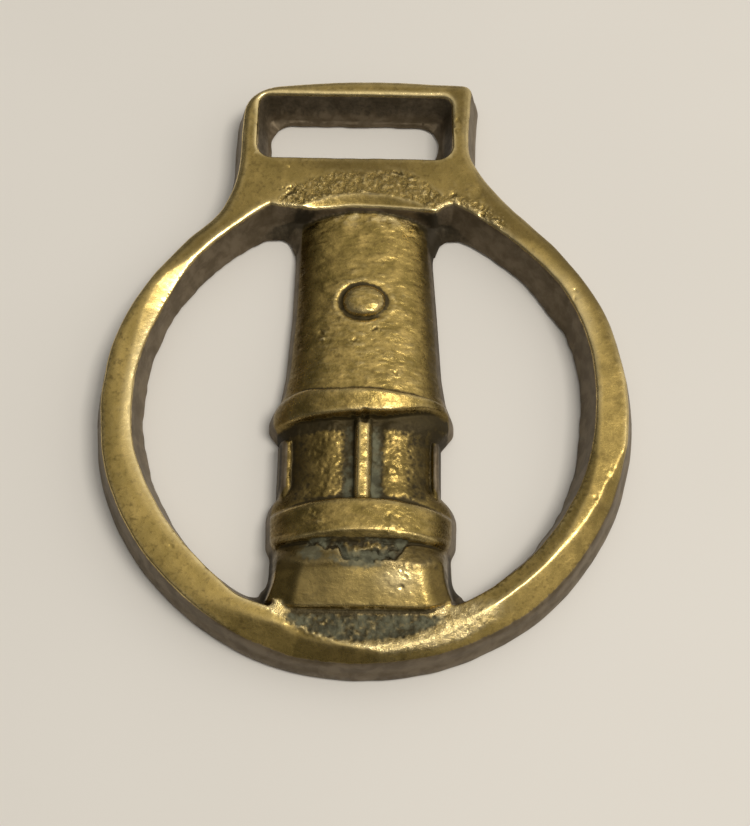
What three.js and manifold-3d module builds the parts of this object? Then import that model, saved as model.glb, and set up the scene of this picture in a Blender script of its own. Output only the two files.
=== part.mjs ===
// Horse brass: a cast brass ring with a miner's safety lamp in relief and a strap hanger on top.
// Millimetres. X runs to the right, Y towards the hanger, Z out of the polished front.
// The back is flat and lies on Z = 0.

import * as THREE from 'three';
import { mergeVertices } from 'three/addons/utils/BufferGeometryUtils.js';
import Module from 'manifold-3d';

const wasm = await Module();
wasm.setup();

// ---- driving dimensions: every X and Y below is measured from the middle of the opening ----

// Ring and shoulder plate, at the front face unless it says otherwise.
const PLATE_HEIGHT = 6.3;
const OUTER_DRAFT = 1.5; // how much further out the outer walls stand at the back
const LAND = 0.5; // upright foot of every drafted wall
const RING_CENTRE = { x: 0.25, y: -0.3 }; // the outer circle is a little off the opening
const RING_RADIUS = 36.45;
const OPENING_RADIUS = 32.3;
const OPENING_BACK_RADIUS = 31.1;
const OPENING_LEAN = 0.1; // the opening moves up by this much per millimetre of height
const CEILING_Y = 30.4; // straight top edge of the opening, under the shoulder
const WORN_EDGE_WIDTH = 0.9; // worn edge round the front face
const WORN_EDGE_DROP = 0.6;
const SEAM_RADIUS = 33.3; // the shoulder runs into the ring along this circle

// Strap hanger.
const HANGER_LEFT = -18.2;
const HANGER_RIGHT = 14.8;
const HANGER_TOP = 51.0;
const HANGER_TOP_ARCH = 0.6;
const HANGER_SPLAY = 0.3; // the right side leans out a little towards the top
const HANGER_LEFT_CORNER = 4.2;
const HANGER_RIGHT_CORNER = 1.5;
const LEFT_FLARE_ANGLE = 132; // degrees round the ring where the flare leaves it
const RIGHT_FLARE_ANGLE = 46;
const LEFT_FLARE_TOP = 38.0;
const RIGHT_FLARE_TOP = 40.5;

// Strap slot: a drafted pocket from the front, and a narrower round-ended slot through its floor.
const POCKET_FLOOR = 1.2;
const POCKET_DRAFT = 1.6;
const POCKET = { left: -15.1, right: 11.1, bottom: 40.0, top: 47.9, corner: 0.5 };
const SLOT = { left: -14.8, right: 10.6, bottom: 40.9, top: 47.5, corner: 3.2 };

// Lamp: half widths and heights above the back. A section of squareness 2 is an ellipse.
const LAMP_WALL_HEIGHT = 3.0;
const LAMP_WALL_DRAFT = 1.0;
const LAMP_SQUARENESS = 2.4;
const BONNET = { top: 32, bottom: 0, topHalf: 9.7, bottomHalf: 11.3, topHeight: 4.6, bottomHeight: 7.9 };
const UPPER_FLANGE = { top: 0.7, crestTop: -1.4, crestBottom: -3.8, bottom: -6.4, half: 13.3, height: 10.2 };
const GLASS = { half: 10.6, height: 7.8 };
const LOWER_FLANGE = { top: -15, crestTop: -16.6, crestBottom: -20, bottom: -22.2, half: 13.3, height: 9.9 };
const FLANGE_ROOT = 0.83; // a flange rises out of the lamp at this share of its half width
const FLANGE_ROUND = 0.96; // and its crest begins to round off at this share
const FLANGE_LIP = 0.5; // height of the rounding under the crest
const VESSEL = { half: 12.5, height: 9.0, bottom: -29.9, squareness: 3.6 };
const VESSEL_FOOT = { width: 0.5, height: 1.5 }; // taper at the vessel's foot
const VESSEL_TOP_TAPER = 0.2;
const FACET_TILT = 24; // degrees that the vessel's filed face leans towards the ring
const FACET_TOP_Y = -24.6;
const FACET_DEPTH = 0.3;
const PILLAR_RADIUS = 1.05;
const PILLAR_PROUD = 0.95;
const SIDE_PILLAR_X = 9.9;
const SIDE_PILLAR_Z = 4.6;
const BOSS = { y: 14.1, radius: 3.1, rise: 1.1, sunk: 0.5 };
const FOOT_HOLLOW = { x: 0.4, y: -31.6, halfWidth: 10.5, halfLength: 1.9, depth: 1.7 };
const JOINT = 1; // how far one stage of the lamp runs on inside the next

// The lamp's side walls: they step in and out with the stages, and sweep out into the ring at both ends.
const CORNER_FLARE = 3;
const LAMP_FOOT_Y = -28.9;
const NECK_HALF = 10.1;
const NECK_Y = 24.4;
const LAMP_SHOULDER_Y = 29.2;
const LAMP_ROOT = 3; // how far the lamp runs on inside the ring
const STEP_EASE = 0.5; // softens each step of the side walls

const CURVE_POINTS = 14; // divisions of each curved stretch of an outline
const RING_SIDES = 120;
const LAMP_SIDES = 64;
const BALL_SIDES = 32;
const PILLAR_SIDES = 16;
const ROOMY = 200; // larger than the whole part, for cutting blocks
const OVERRUN = 1; // how far a cutter runs past the face that it cuts
const TINY = 1e-9; // keeps the axis of a turned body from dividing by zero
const MERGE_DISTANCE = 1e-4;

// How far the drafted outer wall stands outside the front outline where the worn edge begins.
const EDGE_OFFSET = (OUTER_DRAFT * WORN_EDGE_DROP) / (PLATE_HEIGHT - LAND);
const WALL_TOP = PLATE_HEIGHT - WORN_EDGE_DROP;

const radians = THREE.MathUtils.degToRad;

// ---- solids ----

// Turns a closed three.js geometry into a solid that can be joined and cut.
function solid(geometry) {
  const bare = geometry.clone();
  bare.deleteAttribute('normal');
  bare.deleteAttribute('uv');
  const merged = mergeVertices(bare, MERGE_DISTANCE);
  const index = merged.index.array;
  const triangles = [];
  for (let i = 0; i < index.length; i += 3) {
    const [a, b, c] = index.slice(i, i + 3);
    if (a !== b && b !== c && c !== a) triangles.push(a, b, c);
  }
  return new wasm.Manifold(new wasm.Mesh({
    numProp: 3,
    vertProperties: new Float32Array(merged.attributes.position.array),
    triVerts: new Uint32Array(triangles),
  }));
}

// Turns a finished solid back into a geometry with flat faces.
function geometryOf(body) {
  const mesh = body.getMesh();
  const geometry = new THREE.BufferGeometry();
  geometry.setAttribute('position', new THREE.BufferAttribute(new Float32Array(mesh.vertProperties), 3));
  geometry.setIndex(new THREE.BufferAttribute(new Uint32Array(mesh.triVerts), 1));
  geometry.computeVertexNormals();
  return geometry;
}

// Everything in front of the plane Z = floor.
function frontOf(floor) {
  const block = new THREE.BoxGeometry(ROOMY, ROOMY, ROOMY);
  block.translate(0, 0, floor + ROOMY / 2);
  return solid(block);
}

// One layer of a plate: its top, at Z = height, is the outline moved out by topOffset, and its wall
// slopes outwards until the outline has moved by footOffset, slopeHeight lower down. Below that it
// goes on upright.
function layer(shape, height, topOffset, footOffset, slopeHeight) {
  const depth = 2 * LAND;
  const geometry = new THREE.ExtrudeGeometry(shape, {
    depth,
    bevelThickness: slopeHeight,
    bevelSize: footOffset - topOffset,
    bevelOffset: topOffset,
    bevelSegments: 1,
    curveSegments: CURVE_POINTS,
  });
  geometry.translate(0, 0, height - slopeHeight - depth);
  return solid(geometry).intersect(frontOf(0));
}

// A plate on Z = 0 with drafted walls and a worn front edge.
function wornPlate(shape) {
  const wall = layer(shape, WALL_TOP, EDGE_OFFSET, OUTER_DRAFT, WALL_TOP - LAND);
  const edge = layer(shape, PLATE_HEIGHT, -WORN_EDGE_WIDTH, EDGE_OFFSET, WORN_EDGE_DROP);
  return wall.add(edge);
}

// A cutter whose narrow end, with the outline of the shape, is at Z = floor and which widens to the face.
function draftedCutter(shape, floor, draft) {
  const geometry = new THREE.ExtrudeGeometry(shape, {
    depth: PLATE_HEIGHT,
    bevelThickness: PLATE_HEIGHT - floor,
    bevelSize: draft,
    bevelSegments: 1,
    curveSegments: CURVE_POINTS,
  });
  geometry.translate(0, 0, PLATE_HEIGHT);
  return solid(geometry);
}

// A straight cutter right through the plate.
function throughCutter(shape) {
  const geometry = new THREE.ExtrudeGeometry(shape, {
    depth: 4 * PLATE_HEIGHT,
    bevelEnabled: false,
    curveSegments: CURVE_POINTS,
  });
  geometry.translate(0, 0, -2 * PLATE_HEIGHT);
  return solid(geometry);
}

// ---- outlines ----

function roundedRectangle({ left, right, bottom, top, corner }) {
  const shape = new THREE.Shape();
  shape.absarc(right - corner, bottom + corner, corner, -Math.PI / 2, 0);
  shape.absarc(right - corner, top - corner, corner, 0, Math.PI / 2);
  shape.absarc(left + corner, top - corner, corner, Math.PI / 2, Math.PI);
  shape.absarc(left + corner, bottom + corner, corner, Math.PI, 1.5 * Math.PI);
  shape.closePath();
  return shape;
}

// The point on the ring's outer circle at an angle.
function ringPoint(angle) {
  return [RING_CENTRE.x + RING_RADIUS * Math.cos(angle), RING_CENTRE.y + RING_RADIUS * Math.sin(angle)];
}

// Where the ring's tangent at an angle meets the upright side of the hanger.
function flareCorner(angle, sideX) {
  const [x, y] = ringPoint(angle);
  return y + (x - sideX) / Math.tan(angle);
}

// Shoulder, concave flares and hanger. Below, the outline runs inside the ring and under the shoulder.
function shoulderOutline() {
  const left = radians(LEFT_FLARE_ANGLE);
  const right = radians(RIGHT_FLARE_ANGLE);
  const halfGap = Math.acos(CEILING_Y / SEAM_RADIUS);
  const shape = new THREE.Shape();
  shape.moveTo(...ringPoint(right));
  shape.quadraticCurveTo(HANGER_RIGHT, flareCorner(right, HANGER_RIGHT), HANGER_RIGHT, RIGHT_FLARE_TOP);
  shape.lineTo(HANGER_RIGHT + HANGER_SPLAY, HANGER_TOP - HANGER_RIGHT_CORNER);
  shape.quadraticCurveTo(
    HANGER_RIGHT + HANGER_SPLAY,
    HANGER_TOP,
    HANGER_RIGHT - HANGER_RIGHT_CORNER,
    HANGER_TOP,
  );
  shape.quadraticCurveTo(
    (HANGER_LEFT + HANGER_RIGHT) / 2,
    HANGER_TOP + 2 * HANGER_TOP_ARCH,
    HANGER_LEFT + HANGER_LEFT_CORNER,
    HANGER_TOP - HANGER_TOP_ARCH,
  );
  shape.quadraticCurveTo(
    HANGER_LEFT,
    HANGER_TOP - 2 * HANGER_TOP_ARCH,
    HANGER_LEFT,
    HANGER_TOP - HANGER_LEFT_CORNER,
  );
  shape.lineTo(HANGER_LEFT, LEFT_FLARE_TOP);
  shape.quadraticCurveTo(HANGER_LEFT, flareCorner(left, HANGER_LEFT), ...ringPoint(left));
  shape.absarc(0, 0, SEAM_RADIUS, left, Math.PI / 2 + halfGap, true);
  shape.absarc(0, 0, SEAM_RADIUS, Math.PI / 2 - halfGap, right, true);
  shape.closePath();
  return shape;
}

// The lamp's outline at the top of its side walls, with a flare into the ring at each end.
function lampOutline() {
  const foot = VESSEL.half - LAMP_WALL_DRAFT;
  const lower = LOWER_FLANGE.half - LAMP_WALL_DRAFT;
  const waist = GLASS.half - LAMP_WALL_DRAFT;
  const upper = UPPER_FLANGE.half - LAMP_WALL_DRAFT;
  const neck = NECK_HALF - LAMP_WALL_DRAFT;
  const side = [
    [foot, LOWER_FLANGE.bottom - STEP_EASE],
    [lower, LOWER_FLANGE.crestBottom],
    [lower, LOWER_FLANGE.crestTop - STEP_EASE],
    [waist, LOWER_FLANGE.top + STEP_EASE],
    [waist, UPPER_FLANGE.bottom],
    [upper, UPPER_FLANGE.crestBottom + STEP_EASE],
    [upper, UPPER_FLANGE.crestTop],
    [BONNET.bottomHalf - LAMP_WALL_DRAFT, UPPER_FLANGE.top + STEP_EASE],
    [neck, NECK_Y],
  ];
  const rightSide = side.map(([x, y]) => new THREE.Vector2(x, y));
  const leftSide = side.map(([x, y]) => new THREE.Vector2(-x, y)).reverse();

  const shape = new THREE.Shape();
  shape.moveTo(-foot - CORNER_FLARE, LAMP_FOOT_Y - LAMP_ROOT);
  shape.lineTo(foot + CORNER_FLARE, LAMP_FOOT_Y - LAMP_ROOT);
  shape.lineTo(foot + CORNER_FLARE, LAMP_FOOT_Y);
  shape.quadraticCurveTo(foot, LAMP_FOOT_Y, foot, LAMP_FOOT_Y + CORNER_FLARE);
  shape.splineThru(rightSide);
  shape.quadraticCurveTo(neck, LAMP_SHOULDER_Y, neck + CORNER_FLARE, LAMP_SHOULDER_Y);
  shape.lineTo(neck + CORNER_FLARE, LAMP_SHOULDER_Y + LAMP_ROOT);
  shape.lineTo(-neck - CORNER_FLARE, LAMP_SHOULDER_Y + LAMP_ROOT);
  shape.lineTo(-neck - CORNER_FLARE, LAMP_SHOULDER_Y);
  shape.quadraticCurveTo(-neck, LAMP_SHOULDER_Y, -neck, NECK_Y);
  shape.splineThru([...leftSide.slice(1), new THREE.Vector2(-foot, LAMP_FOOT_Y + CORNER_FLARE)]);
  shape.quadraticCurveTo(-foot, LAMP_FOOT_Y, -foot - CORNER_FLARE, LAMP_FOOT_Y);
  shape.closePath();
  return shape;
}

// ---- the parts of the casting ----

// A body turned about the Y axis, then squared across and flattened: its section at Y has the
// half width of the profile and heightShare(Y) times that as its height.
function halfRound(profile, heightShare, squareness = LAMP_SQUARENESS) {
  const points = profile.map(([radius, y]) => new THREE.Vector2(radius, y));
  const geometry = new THREE.LatheGeometry(points, LAMP_SIDES);
  const place = geometry.attributes.position;
  const squared = (part) => Math.sign(part) * Math.abs(part) ** (2 / squareness);
  for (let i = 0; i < place.count; i++) {
    const [x, y, z] = [place.getX(i), place.getY(i), place.getZ(i)];
    const radius = Math.max(Math.hypot(x, z), TINY);
    place.setX(i, radius * squared(x / radius));
    place.setZ(i, radius * squared(z / radius) * heightShare(y));
  }
  return solid(geometry);
}

// The hood, which widens and rises downwards.
function bonnet() {
  const { top, bottom, topHalf, bottomHalf, topHeight, bottomHeight } = BONNET;
  const heightShare = (y) => {
    const along = (y - bottom) / (top - bottom);
    return THREE.MathUtils.lerp(bottomHeight / bottomHalf, topHeight / topHalf, along);
  };
  return halfRound([[0, bottom], [bottomHalf, bottom], [topHalf, top], [0, top]], heightShare);
}

// A collar with a flat crest between two slopes.
function flange({ top, crestTop, crestBottom, bottom, half, height }) {
  const root = half * FLANGE_ROOT;
  const profile = [
    [0, bottom],
    [root, bottom],
    [half * FLANGE_ROUND, crestBottom - FLANGE_LIP],
    [half, crestBottom],
    [half, crestTop],
    [half * FLANGE_ROUND, (crestTop + top) / 2],
    [root, top],
    [0, top],
  ];
  return halfRound(profile, () => height / half);
}

// The glass, between the two flanges.
function glass() {
  const { half, height } = GLASS;
  const low = LOWER_FLANGE.top - JOINT;
  const high = UPPER_FLANGE.bottom + JOINT;
  return halfRound([[0, low], [half, low], [half, high], [0, high]], () => height / half);
}

// The oil vessel, with its filed face cut flat and leaning towards the ring.
function vessel() {
  const { half, height, bottom, squareness } = VESSEL;
  const high = LOWER_FLANGE.bottom + JOINT;
  const profile = [
    [0, bottom],
    [half - VESSEL_FOOT.width, bottom],
    [half, bottom + VESSEL_FOOT.height],
    [half - VESSEL_TOP_TAPER, high],
    [0, high],
  ];
  const knife = new THREE.BoxGeometry(ROOMY, ROOMY, ROOMY);
  knife.translate(0, 0, ROOMY / 2);
  knife.rotateX(radians(FACET_TILT));
  knife.translate(0, FACET_TOP_Y, height - FACET_DEPTH);
  return halfRound(profile, () => height / half, squareness).subtract(solid(knife));
}

// Three guard pillars: one down the middle of the glass and one at each side.
function pillars() {
  const low = LOWER_FLANGE.top - JOINT;
  const high = UPPER_FLANGE.bottom + JOINT;
  const places = [
    [0, GLASS.height + PILLAR_PROUD - PILLAR_RADIUS],
    [-SIDE_PILLAR_X, SIDE_PILLAR_Z],
    [SIDE_PILLAR_X, SIDE_PILLAR_Z],
  ];
  return places.map(([x, z]) => {
    const bar = new THREE.CylinderGeometry(PILLAR_RADIUS, PILLAR_RADIUS, high - low, PILLAR_SIDES);
    bar.translate(x, (high + low) / 2, z);
    return solid(bar);
  });
}

// The low round boss on the bonnet.
function boss() {
  const { y, radius, rise, sunk } = BOSS;
  const along = (BONNET.top - y) / (BONNET.top - BONNET.bottom);
  const surface = THREE.MathUtils.lerp(BONNET.topHeight, BONNET.bottomHeight, along);
  const dome = new THREE.SphereGeometry(radius, BALL_SIDES, BALL_SIDES / 2);
  dome.scale(1, 1, (rise + sunk) / radius);
  dome.translate(0, y, surface - sunk);
  return solid(dome);
}

// A body turned about the Z axis from pairs of radius and height.
function turned(profile) {
  const points = profile.map(([radius, z]) => new THREE.Vector2(radius, z));
  const geometry = new THREE.LatheGeometry(points, RING_SIDES);
  geometry.rotateX(Math.PI / 2);
  return geometry;
}

// The ring: a disc with a drafted wall and worn edge, and an opening that widens to the front.
function ring() {
  const disc = turned([
    [0, 0],
    [RING_RADIUS + OUTER_DRAFT, 0],
    [RING_RADIUS + OUTER_DRAFT, LAND],
    [RING_RADIUS + EDGE_OFFSET, WALL_TOP],
    [RING_RADIUS - WORN_EDGE_WIDTH, PLATE_HEIGHT],
    [0, PLATE_HEIGHT],
  ]);
  disc.translate(RING_CENTRE.x, RING_CENTRE.y, 0);
  const slope = (OPENING_RADIUS - OPENING_BACK_RADIUS) / PLATE_HEIGHT;
  const opening = turned([
    [0, -OVERRUN],
    [OPENING_BACK_RADIUS - slope * OVERRUN, -OVERRUN],
    [OPENING_RADIUS + slope * OVERRUN, PLATE_HEIGHT + OVERRUN],
    [0, PLATE_HEIGHT + OVERRUN],
  ]);
  opening.applyMatrix4(new THREE.Matrix4().makeShear(0, 0, 0, 0, 0, OPENING_LEAN));
  return solid(disc).subtract(solid(opening));
}

// The shoulder and the strap hanger with its pocket and slot.
function hanger() {
  return wornPlate(shoulderOutline())
    .subtract(draftedCutter(roundedRectangle(POCKET), POCKET_FLOOR, POCKET_DRAFT))
    .subtract(throughCutter(roundedRectangle(SLOT)));
}

// The shallow hollow left between the foot of the vessel and the ring's face.
function footHollow() {
  const { x, y, halfWidth, halfLength, depth } = FOOT_HOLLOW;
  const bowl = new THREE.SphereGeometry(1, BALL_SIDES, BALL_SIDES / 2);
  bowl.scale(halfWidth, halfLength, depth);
  bowl.translate(x, y, PLATE_HEIGHT);
  return solid(bowl);
}

// The whole brass in one solid.
function casting() {
  const plate = ring().add(hanger()).subtract(footHollow());
  const pieces = [
    layer(lampOutline(), LAMP_WALL_HEIGHT, 0, LAMP_WALL_DRAFT, LAMP_WALL_HEIGHT - LAND),
    bonnet(),
    flange(UPPER_FLANGE),
    glass(),
    flange(LOWER_FLANGE),
    vessel(),
    ...pillars(),
    boss(),
  ];
  return pieces.reduce((body, piece) => body.add(piece), plate).intersect(frontOf(0));
}

// ---- the scene ----

const brass = new THREE.MeshStandardMaterial({ color: 0x8a7433, roughness: 0.38, metalness: 1 });

const horseBrass = new THREE.Mesh(geometryOf(casting()), brass);
horseBrass.name = 'horse_brass';

// The part's origin is under the middle of its outline.
horseBrass.geometry.computeBoundingBox();
const middle = horseBrass.geometry.boundingBox.getCenter(new THREE.Vector3());
horseBrass.position.set(-middle.x, -middle.y, 0);

const part = new THREE.Group();
part.name = 'horse_brass_part';
part.add(horseBrass);

export default part;
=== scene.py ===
"""Horse brass: a cast brass ring with a miner's safety lamp in relief, worn, dirty and lying on a table."""
import math

import bpy
import numpy as np
from mathutils import Matrix, Vector


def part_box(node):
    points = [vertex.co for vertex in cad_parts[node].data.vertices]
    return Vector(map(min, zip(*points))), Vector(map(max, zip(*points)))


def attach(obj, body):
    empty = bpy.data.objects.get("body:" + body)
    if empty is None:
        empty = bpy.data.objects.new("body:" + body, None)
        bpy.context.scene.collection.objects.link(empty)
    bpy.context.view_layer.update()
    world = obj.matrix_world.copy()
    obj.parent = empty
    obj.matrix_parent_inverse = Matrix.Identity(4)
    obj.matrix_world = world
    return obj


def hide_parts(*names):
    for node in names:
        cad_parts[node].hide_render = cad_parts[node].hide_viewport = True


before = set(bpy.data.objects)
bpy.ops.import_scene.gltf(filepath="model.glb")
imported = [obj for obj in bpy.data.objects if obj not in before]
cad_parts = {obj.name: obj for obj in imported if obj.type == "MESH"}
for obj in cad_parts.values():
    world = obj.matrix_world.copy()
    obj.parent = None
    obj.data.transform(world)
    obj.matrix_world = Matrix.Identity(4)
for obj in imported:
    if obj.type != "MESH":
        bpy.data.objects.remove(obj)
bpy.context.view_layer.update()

MM = 0.001

# ---- sizes, in millimetres from the middle of the opening; heights are above the table ----

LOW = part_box("horse_brass")[0]
TO_LEFT_EDGE, TO_LOWER_EDGE = 37.70, 38.25     # from the middle of the opening to the part's lowest X and Y
CENTRE = np.array([LOW.x / MM + TO_LEFT_EDGE, LOW.y / MM + TO_LOWER_EDGE])

STEP = 0.13            # spacing of the surface grid
GRID_X, GRID_Y = (-40.5, 40.6), (-41.0, 54.6)  # where the grid starts and ends
MOST_TRIANGLES = 194000
RIM = 0.45                                     # height at which front and back meet
CURL = 0.55                                    # how far in from the rim the back's edge is rounded
NO_METAL = -9                                  # a height that loses against every other

PLATE = 6.3                                    # face of the ring and the hanger
RING_X, RING_Y, RING_R = 0.25, -0.30, 36.47    # outer edge of the ring's face
WALL_DRAFT = 1.55                              # how far the outer wall leans out on its way down
OPENING_FRONT, FRONT_R = (0.14, 0.71), 32.28   # the opening at the face: its middle and radius
OPENING_BACK, BACK_R = (-0.07, 0.08), 31.10    # the opening at the table

POCKET = (-16.7, 12.7, 38.35, 49.55)           # left, right, lower and upper edge of the hanger's pocket
POCKET_FLOOR = (-15.3, 11.3, 40.1, 48.1)
SLOT = (-14.8, 10.6, 40.9, 47.5)
FLOOR = 1.15                                   # height of the pocket's floor

FOOT_Y = -30.2                                 # where the lamp's foot meets the ring
LIP_Y = 32.4                                   # top of the arched crease where the plate turns to its lip
LOW_COLLAR_EDGE = -21.35                       # lower edge of the lower collar
GLASS_Y = (-15.5, -3.5)                        # the glass between the two collars
PILLARS = (-10.3, 0.15, 10.0)                  # the three guard pillars, along X
FILED_Y = -24.9                                # upper edge of the vessel's filed face

# The tables hold a place along X or Y and a value there, unless they say otherwise.
# Half width of the lamp along Y, to the left and to the right of its middle.
LEFT_SIDE = [(-36, 15.5), (-28.5, 13.4), (-27.1, 12.9), (-25.9, 12.6), (-21.8, 12.5), (-20.6, 13.15),
             (-16.2, 13.3), (-14.6, 12.9), (-12.6, 11.2), (-6.4, 11.2), (-5.0, 12.3), (-3.6, 13.4),
             (-1.8, 13.4), (1.2, 11.9), (5.1, 11.3), (14.6, 10.7), (24.5, 10.5), (36, 10.3)]
RIGHT_SIDE = [(-36, 15.5), (-28.5, 13.4), (-27.1, 12.9), (-25.9, 12.6), (-21.6, 12.4), (-20.3, 13.1),
              (-16.2, 13.25), (-14.6, 12.7), (-12.6, 10.7), (-6.4, 10.7), (-5.2, 11.6), (-3.6, 12.9),
              (-1.8, 12.9), (1.2, 11.8), (5.1, 11.2), (14.6, 10.6), (24.5, 9.9), (36, 9.8)]
# Height of each collar from its lower rim, 0, to its upper one, 1.
TOP_COLLAR = [(-0.08, 6.3), (-0.03, 7.7), (0.0, 9.1), (0.03, 9.5), (0.12, 9.68), (0.80, 10.12),
              (0.93, 9.95), (1.0, 9.2), (1.07, 7.9), (1.13, 7.0)]
LOW_COLLAR = [(-1.15, 8.0), (-1.0, 9.1), (-0.15, 9.85), (0.0, 10.05), (0.06, 10.0), (0.84, 9.5),
              (0.95, 9.25), (1.0, 8.7), (1.08, 7.3)]
# Height of the vessel above its foot's line, and of the bonnet along Y.
VESSEL = [(0, 4.4), (0.25, 5.4), (0.45, 7.3), (5.8, 8.95), (8.7, 8.85)]
BONNET = [(-1, 8.0), (32.5, 4.5)]
# How square the lamp's section is along Y: 2 is an ellipse.
SQUARENESS = [(-36, 4.4), (-24.5, 4.0), (-22, 2.6), (-20, 2.15), (36, 2.15)]
# Half width of the vessel's filed face, which is narrower at its upper edge.
FILED_SIDE = [(-29.6, 9.1), (FILED_Y, 7.9)]

# Lines across the casting: the lip's edge, the top of the rough patch over it, the crack under the lower
# collar, and the lower border of the rough place at the lamp's foot.
LIP_EDGE = [(-16.5, 34), (-14.3, 30.5), (-12, 30.25), (-8.1, 29.75), (-2.4, 30.55), (1.9, 30.5),
            (4.8, 30.2), (9.3, 29.65), (10.3, 29.6), (11.3, 30.6), (12.9, 31.0), (15.5, 35.0)]
PATCH_TOP = [(-13.4, 30), (-12.3, 31.9), (-9.9, 34.0), (-8.5, 34.8), (-5.5, 35.7), (-1, 36.1),
             (4.8, 36.2), (7, 35.1), (9.2, 33.7), (11.2, 32.3), (12.4, 30.2)]
CRACK = [(-10, -22.4), (-7.9, -22.1), (-5.7, -21.5), (-4.6, -22.5), (-2.9, -22.3), (-2.2, -23.5),
         (-0.4, -23.7), (1.6, -24.2), (3.2, -23.6), (4.4, -23.7), (5.3, -22.9), (6.0, -21.7), (10, -21.4)]
FOOT_BORDER = [(-16, -29), (-13, -29.6), (-9, -31.9), (-2.8, -34.3), (3.6, -35.7), (9, -35),
               (13.5, -33.5), (16, -32), (20, -30)]

# Swells of the three round edges: height, then place and width in degrees.
RING_SWELLS = [(-0.6, 137, 17), (0.25, -153, 14), (-0.08, 36, 10)]
FRONT_SWELLS = [(0.8, 114, 9), (0.5, 67, 8), (-0.45, 157, 12), (0.4, -166, 10), (0.55, 24, 16),
                (0.8, -119, 8)]
BACK_SWELLS = [(0.6, 20, 9), (-0.4, -6, 8)]

# Bevels worn and filed along the ring, by angle in degrees: their width, and their slope.
OUTER_BEVEL = [(-180, 1.3), (-150, 0.8), (-130, 1.1), (-118, 2.5), (-104, 3.6), (-95, 2.4), (-86, 1.2),
               (-76, 1.6), (-66, 2.5), (-52, 3.2), (-40.5, 2.8), (-30, 2.2), (-20, 1.6), (-11, 0.3),
               (10, 0.35), (30, 0.6), (50, 0.7), (90, 0.6), (130, 0.9), (150, 0.7), (165, 0.9)]
OUTER_SLOPE = [(-180, 0.24), (-130, 0.26), (-104, 0.50), (-95, 0.56), (-86, 0.66), (-76, 0.60), (-66, 0.54),
               (-52, 0.52), (-40.5, 0.50), (-30, 0.45), (-20, 0.5), (-11, 0.5), (50, 0.5), (90, 0.4),
               (130, 0.35)]
INNER_BEVEL = [(-180, 0.9), (-168, 1.4), (-158, 1.3), (-148, 0.9), (-130, 0.7), (-110, 0.4), (-75, 0.6),
               (-66, 2.2), (-50, 2.2), (-41, 1.9), (-30, 1.5), (-20, 1.1), (-8, 0.5), (30, 0.4), (60, 0.5),
               (110, 0.4), (120, 0.45), (138, 0.5), (141.5, 0.8), (146, 1.9), (150, 2.4), (156, 2.2),
               (162, 1.6), (168, 1.0), (173, 0.6)]
INNER_SLOPE = [(-180, 0.25), (-158, 0.28), (-130, 0.3), (-75, 0.4), (-66, 0.42), (-41, 0.45), (-20, 0.45),
               (30, 0.4), (90, 0.35), (133, 0.42), (146, 0.34), (160, 0.35), (173, 0.35)]

# Small pits, and specks of crust where the depth is below nought: x, y, radius, depth.
PITS = [(-8.4, 10.4, 0.35, 0.35), (-6.0, 9.8, 0.28, 0.3), (-6.1, 8.9, 0.35, -0.2), (1.5, 10.3, 0.35, 0.3),
        (-1.5, 8.3, 0.30, 0.22), (4.4, 3.4, 0.35, 0.22), (30.0, 17.1, 0.22, 0.12), (29.9, 15.8, 0.24, 0.12),
        (34.0, -9.8, 0.4, 0.06), (33.6, -10.9, 0.3, 0.05), (31.6, -14.0, 0.35, 0.10),
        (-28.5, 14.5, 0.3, 0.12), (5.5, -27.2, 0.30, 0.25), (5.1, -26.4, 0.9, -0.12),
        (-6.6, -18.2, 0.45, 0.22), (-5.7, -18.9, 0.4, -0.25), (-5.9, -17.6, 0.35, 0.25),
        (3.5, -18.3, 0.32, 0.3), (4.3, -19.2, 0.5, -0.22), (4.9, -18.3, 0.3, 0.2), (-11.4, 32.4, 0.55, 0.4),
        (4.6, 35.9, 0.30, 0.3), (6.5, 34.9, 0.35, -0.2), (18.8, 28.0, 0.5, -0.25), (17.2, 29.1, 0.6, 0.25),
        (-25.0, -21.9, 0.25, 0.12), (12.9, 43.4, 0.3, 0.15), (13.4, 45.2, 0.4, 0.14)]


# ---- helpers on whole arrays ----

def low_of(a, b, k):
    """Smooth minimum: the lower of two heights, with the crease rounded over a band of k."""
    h = np.clip(0.5 + 0.5 * (b - a) / k, 0, 1)
    return b + (a - b) * h - k * h * (1 - h)


def high_of(a, b, k):
    """Smooth maximum: the higher of two heights, with the valley filled over a band of k."""
    return -low_of(-a, -b, k)


def ramp(a, b, v):
    """0 at a and below, 1 at b and above, with an S curve between; b may be the smaller one."""
    t = np.clip((v - a) / (b - a), 0, 1)
    return t * t * (3 - 2 * t)


def bell(v, middle, width):
    """A bell curve of height 1."""
    return np.exp(-((v - middle) / width) ** 2)


def turn(angle, middle, width):
    """A bell round the circle, in degrees."""
    d = (angle - middle + 180) % 360 - 180
    return np.exp(-(d / width) ** 2)


def spot(x, y, middle, stretch, width=1.0):
    """A bell over an oval: of the distance to its middle, each way divided by its stretch."""
    return bell(np.hypot((x - middle[0]) / stretch[0], (y - middle[1]) / stretch[1]), 0, width)


def polar(x, y, middle):
    """Distance from a middle, and the angle round it in degrees."""
    dx, dy = x - middle[0], y - middle[1]
    return np.hypot(dx, dy), np.degrees(np.arctan2(dy, dx))


def along(v, knots):
    """A value that changes along v: straight between (place, value) knots."""
    places, values = zip(*knots)
    return np.interp(v, places, values)


def by_angle(angle, knots):
    """A value that changes round the ring: straight between knots, and on from the last to the first."""
    knots = sorted(knots)
    before = (knots[-1][0] - 360, knots[-1][1])
    after = (knots[0][0] + 360, knots[0][1])
    return along(angle, [before, *knots, after])


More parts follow.
